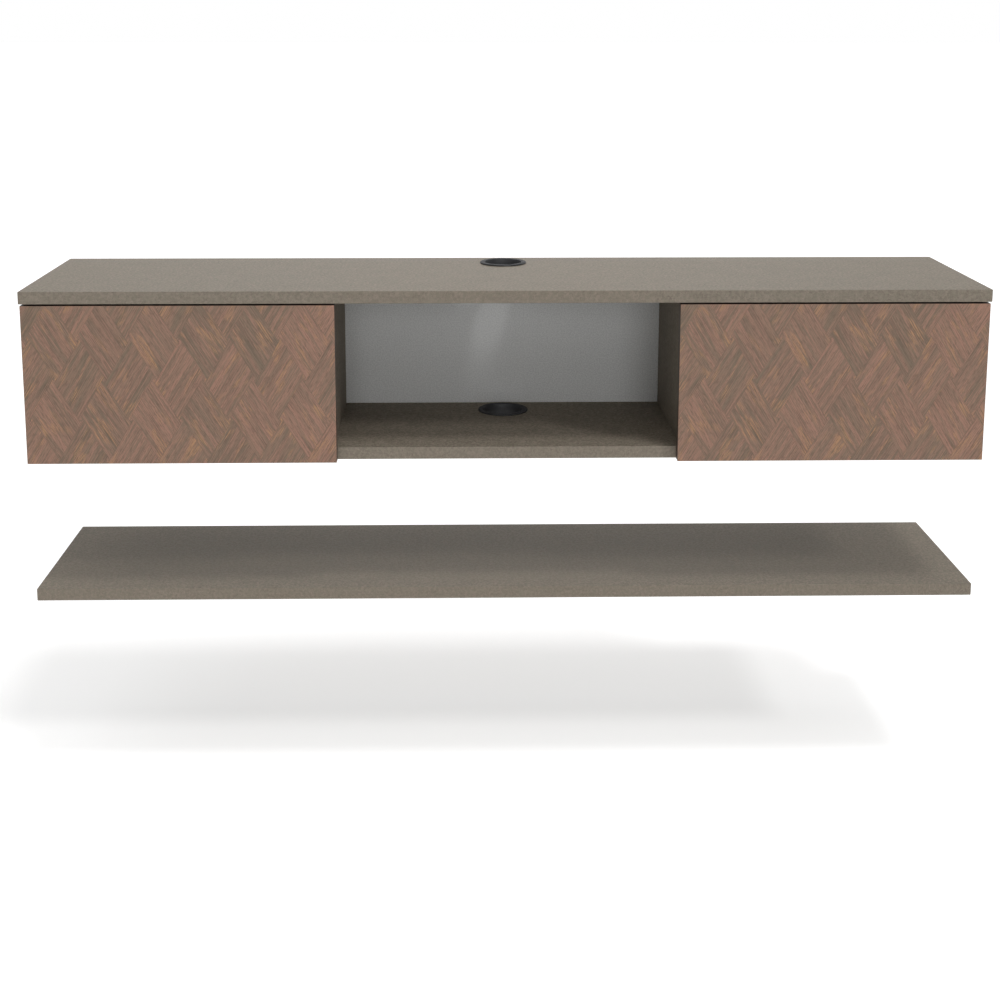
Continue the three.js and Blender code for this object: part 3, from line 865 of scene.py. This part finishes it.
def dress_node(name: str, finish: Finish, turned: bool = False) -> None:
    """Gives a carried-over solid its finish, and rounds its edges by modifiers alone.

    Args:
        name: the solid's name.
        finish: its finish.
        turned: whether the solid has round faces to shade smooth.
    """
    node = frame["nodes"][name]
    finish.put_on(node)
    if turned:
        node.modifiers.new("smooth_rounds", "NODES").node_group = round_shading()
    else:
        node.modifiers.new("join_corners", "WELD").merge_threshold = WELD_DISTANCE
    bevel = node.modifiers.new("rounded_edges", "BEVEL")
    bevel.width = finish.bevel * MM
    bevel.segments = BEVEL_SEGMENTS
    bevel.limit_method = "ANGLE"
    bevel.angle_limit = BEVEL_ANGLE
    bevel.use_clamp_overlap = True


def box_of(name: str) -> tuple[Vector, Vector, Vector]:
    """A solid's lowest corner, highest corner and middle, in millimetres."""
    low, high = (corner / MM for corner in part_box(name))
    return low, high, (low + high) / 2


def ring_stack(name: str, rings: Sequence[Sequence[Point]], capped: bool = True) -> Object:
    """Joins rings with the same number of points into one closed piece.

    Args:
        name: the piece's name.
        rings: the rings in order, in millimetres, each running the same way round.
        capped: whether each end closes on its middle. Otherwise the last ring joins the first.

    Returns:
        The object.
    """
    count = len(rings[0])
    points = [point for ring in rings for point in ring]
    rows = [[row * count + step % count for step in range(count + 1)] for row in range(len(rings))]
    faces = []
    for here, there in zip(rows, rows[1:] if capped else rows[1:] + rows[:1]):
        faces += zip(here, here[1:], there[1:], there)
    if capped:
        for ring, row, way in ((rings[0], rows[0], -1), (rings[-1], rows[-1], 1)):
            points.append(tuple(sum(point[axis] for point in ring) / count for axis in range(3)))
            faces += [(*pair[::way], len(points) - 1) for pair in zip(row, row[1:])]
    return mesh_object(name, points, faces)


def turned_piece(name: str, foot: Vector, out: Vector, turns: Sequence[float], rows: Sequence[Row]) -> Object:
    """Makes a piece from rings round an axis.

    Args:
        name: the piece's name.
        foot: where the axis starts, in millimetres.
        out: the axis's unit direction.
        turns: the turns of the points round each ring, in radians.
        rows: the rings in order.

    Returns:
        The object, closed at both ends.
    """
    first = out.orthogonal().normalized()
    second = out.cross(first)
    spokes = [first * math.cos(turn) + second * math.sin(turn) for turn in turns]
    rings = []
    for height, reach in rows:
        reaches = [reach] * len(spokes) if isinstance(reach, float) else reach
        rings.append([foot + out * height + spoke * far for spoke, far in zip(spokes, reaches)])
    return ring_stack(name, rings)


# Sub-assemblies

@dataclass(frozen=True)
class Recess:
    """The driver's recess in a screw head, in shares of the head's radius.

    The rim share widens the ring round the recess, and the foot share narrows its bottom.
    """

    drive: Drive = Drive.CROSS
    reach_share: float = 0.6
    slot_share: float = 0.15
    rim_share: float = 1.12
    foot_share: float = 0.85

    def turns(self) -> list[float]:
        """The turns of the points round each ring, close together at the recess's corners.

        Returns:
            The turns, in radians.
        """
        corner = math.degrees(math.asin(self.slot_share / self.reach_share))
        offsets = (-corner, -corner / 2, 0.0, corner / 2, corner, 45.0)
        return [math.radians(quarter + offset) for quarter in (0, 90, 180, 270) for offset in offsets]

    def reach(self, turn: float) -> float:
        """How far the recess reaches at a turn from its first arm, as a share of the head's radius."""
        from_arm = abs(math.remainder(turn, self.drive.value))
        return min(self.reach_share, self.slot_share / max(math.sin(from_arm), self.slot_share))

    def sink(self, radius: float, top: float, depth: float) -> list[Row]:
        """The rings that cut the recess into a flat head.

        Args:
            radius: the head's radius, in millimetres.
            top: the height of its flat face.
            depth: how deep the recess is.

        Returns:
            The rings, from the rim inwards.
        """
        rim = radius * self.reach_share * self.rim_share
        mouth = [radius * self.reach(turn) for turn in self.turns()]
        return [(top, rim), (top, mouth), (top - depth, [reach * self.foot_share for reach in mouth])]


@dataclass(frozen=True)
class SmallScrew:
    """The head of one size of wood screw, seated on a plate or lying flush with it."""

    radius: float
    rise: float
    head: Head = Head.PAN
    recess: Recess = Recess()
    depth_share: float = 0.7

    def build(self, name: str, body: str, seat: Vector, out: Vector) -> None:
        """Makes one head with its recess.

        Args:
            name: the piece's name.
            body: the body that it rides on.
            seat: the middle of its bearing face, in millimetres.
            out: the unit direction from that face towards the driver.
        """
        rows = [(self.rise * lift, self.radius * share) for share, lift in self.head.value]
        rows += self.recess.sink(self.radius, self.rise, self.rise * self.depth_share)
        fit_out(turned_piece(name, seat, out, self.recess.turns(), rows), ZINC_STEEL, body)


@dataclass(frozen=True)
class CleatScrew:
    """A long countersunk wood screw with its thread, in place of the plain solid."""

    node: str
    root: float = 1.55
    crest: float = 2.2
    shank: float = 1.95
    pitch: float = 2.4
    rings_per_turn: int = 8
    flank_slope: float = 1.8
    point: float = 4.5
    tip_share: float = 0.12
    thread_length: float = 29.0
    thread_end: float = 1.0
    head_height: float = 2.6
    rim: float = 0.3
    recess_depth: float = 1.7
    recess: Recess = Recess()

    def build(self) -> None:
        """Replaces the solid by the threaded screw."""
        low, high, middle = box_of(self.node)
        length, head = high.y - low.y, (high.x - low.x) / 2
        turns = self.recess.turns()
        step = self.pitch / self.rings_per_turn
        heights = [index * step for index in range(1, round(self.thread_length / step))]
        rows = [
            *((height, [self.thread(height, turn) for turn in turns]) for height in heights),
            (self.thread_length, self.root),
            (self.thread_length + self.thread_end, self.shank),
            (length - self.head_height, self.shank),
            (length - self.rim, head),
            (length, head),
            *self.recess.sink(head, length, self.recess_depth),
        ]
        tip = Vector((middle.x, low.y, middle.z))
        piece = turned_piece(self.node + "_threaded", tip, TO_WALL, turns, rows)
        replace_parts(fit_out(piece, ZINC_STEEL, "cabinet"), self.node)

    def thread(self, height: float, turn: float) -> float:
        """How far the threaded part reaches from its axis.

        Args:
            height: the distance from the tip, in millimetres.
            turn: the turn round the axis, in radians.

        Returns:
            The distance, in millimetres.
        """
        phase = (height / self.pitch - turn / math.tau) % 1.0
        flank = max(0.0, 1 - abs(2 * phase - 1) * self.flank_slope)
        ends = min(1.0, height / self.point, (self.thread_length - height) / self.pitch)
        taper = min(1.0, self.tip_share + height / self.point)
        return self.root * taper + (self.crest - self.root) * flank * ends


@dataclass(frozen=True)
class BrakeScrew:
    """The slotted screw that sets a stay's brake, in place of the plain solid."""

    side: Side
    edge: float = 0.35
    head_height: float = 2.5
    recess_depth: float = 1.3
    recess: Recess = Recess(Drive.SLOT, 0.82, 0.13)

    def build(self) -> None:
        """Replaces the solid by the slotted screw, on the axis that runs from the housing's pivot."""
        housing = f"{self.side.word}_stay_housing"
        node = f"{self.side.word}_stay_brake_screw"
        points = [vertex.co / MM for vertex in frame["nodes"][node].data.vertices]
        joint = next(joint for joint in frame["joints"] if joint["name"] == housing + "_pivot")
        pivot = Vector(joint["pos_m"]) / MM
        out = (sum(points, Vector()) / len(points) - pivot).normalized()
        along = [(point - pivot).dot(out) for point in points]
        spread = [(point - pivot - out * reach).length for point, reach in zip(points, along)]
        foot, top = min(along), max(along)
        shank = max(wide for wide, reach in zip(spread, along) if reach < foot + SAME_HEIGHT)
        head, under = max(spread), top - self.head_height
        rows = [
            (foot, shank - self.edge),
            (foot + self.edge, shank),
            (under, shank),
            (under, head - self.edge / 2),
            (under + self.edge / 2, head),
            (top - self.edge, head),
            (top, head - self.edge),
            *self.recess.sink(head, top, self.recess_depth),
        ]
        piece = turned_piece(node + "_slotted", pivot, out, self.recess.turns(), rows)
        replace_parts(fit_out(piece, DARK_STEEL, housing), node)


@dataclass(frozen=True)
class Bumper:
    """A soft dome on the door's rear face, in place of the plain pad."""

    side: Side
    place: str
    foot_height: float = 0.3
    rings: int = 8
    steps: int = 32

    def build(self) -> None:
        """Replaces the pad by the dome."""
        node = f"{self.side.word}_{self.place}_bumper"
        low, high, middle = box_of(node)
        radius, rise = (high.x - low.x) / 2, high.y - low.y - self.foot_height
        turns = [math.tau * step / self.steps for step in range(self.steps)]
        leans = [math.pi / 2 * ring / self.rings for ring in range(self.rings)]
        dome = [(self.foot_height + rise * math.sin(lean), radius * math.cos(lean)) for lean in leans]
        foot = Vector((middle.x, low.y, middle.z))
        piece = turned_piece(node + "_dome", foot, TO_WALL, turns, [(0.0, radius), *dome])
        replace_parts(fit_out(piece, SOFT_RUBBER, f"{self.side.word}_door"), node)


@dataclass(frozen=True)
class Boards:
    """The flat boards and the plywood strips behind them."""

    level: tuple[str, ...] = ("top_panel", "bottom_panel", "lower_shelf")
    upright: tuple[str, ...] = ("left_side_panel", "right_side_panel", "left_divider", "right_divider")
    painted: tuple[str, ...] = ("back_panel",)
    strips: tuple[str, ...] = ("cabinet_cleat", "wall_cleat", "wall_spacer")

    def build(self) -> None:
        """Dresses every board and strip."""
        for names, finish in (
            (self.level + self.upright, TAUPE_LAMINATE),
            (self.painted, PALE_BACKBOARD),
            (self.strips, PLYWOOD),
        ):
            for name in names:
                dress_node(name, finish)


@dataclass(frozen=True)
class Grommet:
    """One black cable grommet, with a finger ramp in the front of its flange."""

    node: str
    wall: float = 1.5
    flange_rise: float = 2.2
    under_edge: tuple[float, float] = (0.2, 0.25)
    lip: float = 0.7
    chamfer: float = 0.9
    round_share: float = 0.3
    steps: int = 120
    ramp_degrees: tuple[float, float] = (2.0, 19.0)
    ramp_edge_degrees: float = 0.4
    ramp_fall: float = 1.3
    ramp_reach: float = 1.0

    def build(self) -> None:
        """Replaces the plain solid by a fine turned one."""
        low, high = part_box(self.node)
        centre_x, centre_y = (low.x + high.x) / 2 / MM, (low.y + high.y) / 2 / MM
        flange, bore = (high.x - low.x) / 2 / MM, self.bore()
        top, end = high.z / MM, low.z / MM
        outside, seat = bore + self.wall, top - self.flange_rise
        profile = [
            (bore, end),
            (outside, end),
            (outside, seat),
            (flange - self.under_edge[0], seat),
            (flange, seat + self.under_edge[1]),
            (flange, top - self.chamfer),
            (flange - self.chamfer * self.round_share, top - self.chamfer * self.round_share),
            (flange - self.chamfer, top),
            (bore + self.lip, top),
            (bore + self.lip * self.round_share, top - self.lip * self.round_share),
            (bore, top - self.lip),
            (bore, (top + end) / 2),
        ]
        rings = []
        for radius, height in profile:
            sinks = radius > outside and height > top - self.ramp_reach
            ring = []
            for turn, ramped in self.turns():
                x, y = centre_x + radius * math.sin(turn), centre_y - radius * math.cos(turn)
                ring.append((x, y, height - self.ramp_fall if sinks and ramped else height))
            rings.append(ring)
        piece = ring_stack(self.node + "_moulding", rings, capped=False)
        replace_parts(fit_out(piece, BLACK_PLASTIC, "cabinet"), self.node)

    def bore(self) -> float:
        """The bore's radius in millimetres, from the solid's inner vertices.

        Returns:
            The radius.
        """
        low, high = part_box(self.node)
        middle = ((low + high) / 2).xy
        return min((vertex.co.xy - middle).length for vertex in frame["nodes"][self.node].data.vertices) / MM

    def turns(self) -> list[tuple[float, bool]]:
        """The turns of the points round each ring, with two close pairs where the ramp's ends stand.

        Returns:
            The turns from the front in radians, in order, and whether each is on the ramp.
        """
        edge = self.ramp_edge_degrees
        start, stop = self.ramp_degrees
        degrees = [step * 360 / self.steps for step in range(self.steps)]
        kept = [turn for turn in degrees if min(abs(turn - start), abs(turn - stop)) > edge]
        kept += [end + side * edge / 2 for end in (start, stop) for side in (-1, 1)]
        return [(math.radians(turn), start < turn < stop) for turn in sorted(kept)]


@dataclass(frozen=True)
class Flap:
    """One drop-down flap with its hinge, stay, latch and bumpers."""

    side: Side
    print_shift: float = 0.0
    plate_screw: SmallScrew = SmallScrew(3.4, 1.6)
    bracket_screw: SmallScrew = SmallScrew(3.1, 1.4)
    latch_screw: SmallScrew = SmallScrew(2.9, 1.3)
    leaf_screw: SmallScrew = SmallScrew(2.3, 0.14, Head.FLUSH)
    strike_screw: SmallScrew = SmallScrew(2.4, 0.14, Head.FLUSH)
    plate_inset: float = 8.0
    bracket_base: float = 2.0
    bracket_inset: float = 7.0
    latch_wing: float = 2.0
    latch_inset: float = 8.0
    latch_body_width: float = 14.0
    leaf_height: float = 8.5
    leaf_screw_pitch: float = 80.0
    fixed_leaf_screws: int = 5
    door_leaf_screws: int = 4

    def build(self) -> None:
        """Dresses the flap's solids and adds its screws and bumpers."""
        self.dress()
        self.add_screws()
        self.add_leaf_screws()
        BrakeScrew(self.side).build()
        for place in ("inner", "outer"):
            Bumper(self.side, place).build()

    def dress(self) -> None:
        """Gives the flap's solids their finishes."""
        word = self.side.word
        low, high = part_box(f"{word}_door_panel")
        veneer = {"corner_x": low.x / MM, "corner_z": high.z / MM, "print_shift": self.print_shift}
        dress_node(f"{word}_door_panel", HerringboneVeneer(side=self.side, **veneer))
        for names, finish in (
            (("hinge_fixed_leaf", "hinge_door_leaf", "hinge_pin", "stay_rod"), ZINC_STEEL),
            (("stay_side_plate", "stay_door_bracket", "strike_plate"), ZINC_STEEL),
            (("stay_collar", "stay_cabinet_pin", "stay_door_pin", "latch_plunger"), DARK_STEEL),
            (("stay_housing", "latch_body"), GREY_PLASTIC),
        ):
            for name in names:
                dress_node(f"{word}_{name}", finish, turned=True)

    def seat(self, screw: SmallScrew, label: str, body: str, out: Vector, *seats: Point) -> None:
        """Seats screws of one size and direction, numbered from 1."""
        for index, seat in enumerate(seats, 1):
            screw.build(f"{self.side.word}_{label}_screw_{index}", body, Vector(seat), out)

    def add_screws(self) -> None:
        """Seats the small screws of the stay, the latch and the strike."""
        word, door = self.side.word, f"{self.side.word}_door"
        low, high, middle = box_of(f"{word}_stay_side_plate")
        face = low.x if self.side is Side.RIGHT else high.x
        heights = (low.z + self.plate_inset, high.z - self.plate_inset)
        inward = Vector((-self.side.value, 0, 0))
        self.seat(self.plate_screw, "stay_plate", "cabinet", inward, *((face, middle.y, z) for z in heights))
        low, high, middle = box_of(f"{word}_stay_door_bracket")
        face = low.y + self.bracket_base
        heights = (low.z + self.bracket_inset, high.z - self.bracket_inset)
        self.seat(self.bracket_screw, "stay_bracket", door, TO_WALL, *((middle.x, face, z) for z in heights))
        low, high, middle = box_of(f"{word}_latch_body")
        wing = (high.x - low.x + self.latch_body_width) / 4
        seats = [
            (x, y, high.z - self.latch_wing)
            for y in (low.y + self.latch_inset, high.y - self.latch_inset)
            for x in (middle.x - wing, middle.x + wing)
        ]
        self.seat(self.latch_screw, "latch", "cabinet", DOWN, *seats)
        _, high, middle = box_of(f"{word}_strike_plate")
        self.strike_screw.build(f"{word}_strike_screw", door, Vector((middle.x, high.y, middle.z)), TO_WALL)

    def add_leaf_screws(self) -> None:
        """Seats the hinge's screws, whose places on the two leaves alternate."""
        word = self.side.word
        for leaf, body, out, count in (
            ("hinge_fixed_leaf", "cabinet", TO_ROOM, self.fixed_leaf_screws),
            ("hinge_door_leaf", f"{word}_door", TO_WALL, self.door_leaf_screws),
        ):
            low, high, _ = box_of(f"{word}_{leaf}")
            middle = (low.x + high.x) / 2
            # Only at its top edge is a leaf's face clear of the wider knuckles.
            points = [vertex.co / MM for vertex in frame["nodes"][f"{word}_{leaf}"].data.vertices]
            depths = [point.y for point in points if abs(point.z - high.z) < SAME_HEIGHT]
            face = max(depths) if out.y > 0 else min(depths)
            height = high.z - self.leaf_height / 2
            along = [middle + (index - (count - 1) / 2) * self.leaf_screw_pitch for index in range(count)]
            self.seat(self.leaf_screw, leaf, body, out, *((x, face, height) for x in along))


@dataclass(frozen=True)
class Ironmongery:
    """The cleat screws and the concealed shelf brackets."""

    screws: int = 4
    brackets: int = 4

    def build(self) -> None:
        """Makes the screws and dresses the brackets."""
        for index in range(self.screws):
            CleatScrew(f"cleat_screw_{index + 1}").build()
        for index in range(self.brackets):
            dress_node(f"shelf_bracket_{index + 1}", DARK_STEEL, turned=True)


# Camera and studio

@dataclass(frozen=True)
class PictureCamera:
    """The camera that the picture was taken with, as fitted to the console's edges.

    Its place and clip range are in metres, its sensor's width in millimetres and its angles in radians.
    """

    place: Point = (-0.0690, -2.5412, 0.4767)
    pitch_down: float = 0.1765
    yaw: float = 0.0188
    roll: float = 0.0007
    focal_pixels: float = 1577.97
    centre_right_pixels: float = 489.0
    centre_down_pixels: float = 295.05
    picture_pixels: float = 1000.0
    sensor: float = 36.0
    clip: tuple[float, float] = (0.05, 200.0)

    def build(self) -> None:
        """Makes the camera and makes it the scene's."""
        data = bpy.data.cameras.new("picture_camera")
        data.sensor_width = self.sensor
        data.lens = self.sensor * self.focal_pixels / self.picture_pixels
        data.shift_x = 0.5 - self.centre_right_pixels / self.picture_pixels
        data.shift_y = self.centre_down_pixels / self.picture_pixels - 0.5
        data.clip_start, data.clip_end = self.clip
        level_ahead = math.cos(self.pitch_down)
        ahead = Vector((
            math.sin(self.yaw) * level_ahead,
            math.cos(self.yaw) * level_ahead,
            -math.sin(self.pitch_down),
        ))
        level = ahead.cross(Vector((0, 0, 1))).normalized()
        upright = level.cross(ahead)
        right = level * math.cos(self.roll) + upright * math.sin(self.roll)
        up = upright * math.cos(self.roll) - level * math.sin(self.roll)
        camera = put_in_scene("picture_camera", data)
        turn = Matrix((right, up, -ahead)).transposed().to_4x4()
        camera.matrix_world = Matrix.Translation(self.place) @ turn
        bpy.context.scene.camera = camera


@dataclass(frozen=True)
class SoftSun:
    """One wide, even lamp, given by where it shines from and what it adds to a surface that faces it."""

    name: str
    towards_lamp: Point
    level: float
    width_degrees: float

    def build(self) -> None:
        """Makes the lamp."""
        data = bpy.data.lights.new(self.name, "SUN")
        data.energy = self.level * math.pi
        data.angle = math.radians(self.width_degrees)
        lamp = put_in_scene(self.name, data)
        lamp.rotation_mode = "QUATERNION"
        lamp.rotation_quaternion = Vector(self.towards_lamp).to_track_quat("Z", "Y")


@dataclass(frozen=True)
class Studio:
    """A plain pale floor below the console, an even white surround and soft lamps.

    The floor's height is in millimetres and its half width in metres.
    """

    floor_height: float = -680.0
    floor_half_width: float = 60.0
    surround_level: float = 0.12
    seen_floor: float = 1.0
    bounce_floor: float = 0.9
    floor_glow: float = 0.43
    lamps: tuple[SoftSun, ...] = (
        SoftSun("key_lamp", (0.22, -0.33, 1.0), 0.21, 10.0),
        SoftSun("low_key_lamp", (0.85, -0.75, 1.0), 0.17, 8.0),
        SoftSun("overhead_lamp", (0.0, -0.4, 1.0), 0.3, 80.0),
        SoftSun("front_lamp", (0.05, -1.0, 0.13), 0.18, 20.0),
        SoftSun("rear_lamp", (0.0, 1.0, 0.45), 0.22, 40.0),
    )

    def build(self) -> None:
        """Makes the floor, the surround and the lamps."""
        self.make_floor()
        self.make_surround()
        for lamp in self.lamps:
            lamp.build()
        bpy.context.scene.view_settings.view_transform = "Standard"

    @staticmethod
    def seen_directly(graph: Graph) -> Socket:
        """1 for camera, glossy and transmission rays, otherwise 0.

        Args:
            graph: the graph of the floor or the surround.

        Returns:
            The mask.
        """
        path = graph.add("LightPath").outputs
        mirrored = graph.math("MAXIMUM", path["Is Glossy Ray"], path["Is Transmission Ray"])
        return graph.math("MAXIMUM", path["Is Camera Ray"], mirrored)

    def make_floor(self) -> None:
        """Makes the floor, which keeps shadows and is clear from below."""
        half = self.floor_half_width / MM
        corners = ((-half, -half), (half, -half), (half, half), (-half, half))
        floor = mesh_object("studio_floor", [(x, y, self.floor_height) for x, y in corners], [(0, 1, 2, 3)])
        material = bpy.data.materials.new("studio_floor")
        graph = emptied(material)
        seen = self.seen_directly(graph)
        shade = graph.between(seen, self.bounce_floor, self.seen_floor)
        paint = graph.add("BsdfDiffuse", {"Color": graph.join(shade, shade, shade)})
        glow = graph.add("Emission", {"Strength": graph.times(seen, self.floor_glow)})
        lit = graph.add("AddShader", {0: paint.outputs[0], 1: glow.outputs[0]})
        below = graph.add("NewGeometry").outputs["Backfacing"]
        clear = graph.add("BsdfTransparent")
        surface = graph.add("MixShader", {0: below, 1: lit.outputs[0], 2: clear.outputs[0]})
        graph.add("OutputMaterial", {"Surface": surface.outputs[0]})
        floor.data.materials.append(material)

    def make_surround(self) -> None:
        """Makes the even surround, which is white where it is seen or mirrored."""
        world = bpy.data.worlds.new("studio_surround")
        graph = emptied(world)
        strength = graph.between(self.seen_directly(graph), self.surround_level, 1.0)
        background = graph.add("Background", {"Strength": strength, "Color": (1.0, 1.0, 1.0, 1.0)})
        graph.add("OutputWorld", {"Surface": background.outputs[0]})
        bpy.context.scene.world = world


def main() -> None:
    """Builds the console's looks and the studio, piece by piece."""
    logging.basicConfig(level=logging.INFO, format="%(name)s: %(message)s")
    for part in (
        PictureCamera(),
        Studio(),
        Boards(),
        Grommet("top_grommet"),
        Grommet("floor_grommet"),
        Ironmongery(),
        Flap(Side.LEFT),
        Flap(Side.RIGHT, print_shift=-6.0),
    ):
        part.build()
        log.info("built %s", part)


if __name__ == "__main__":
    main()
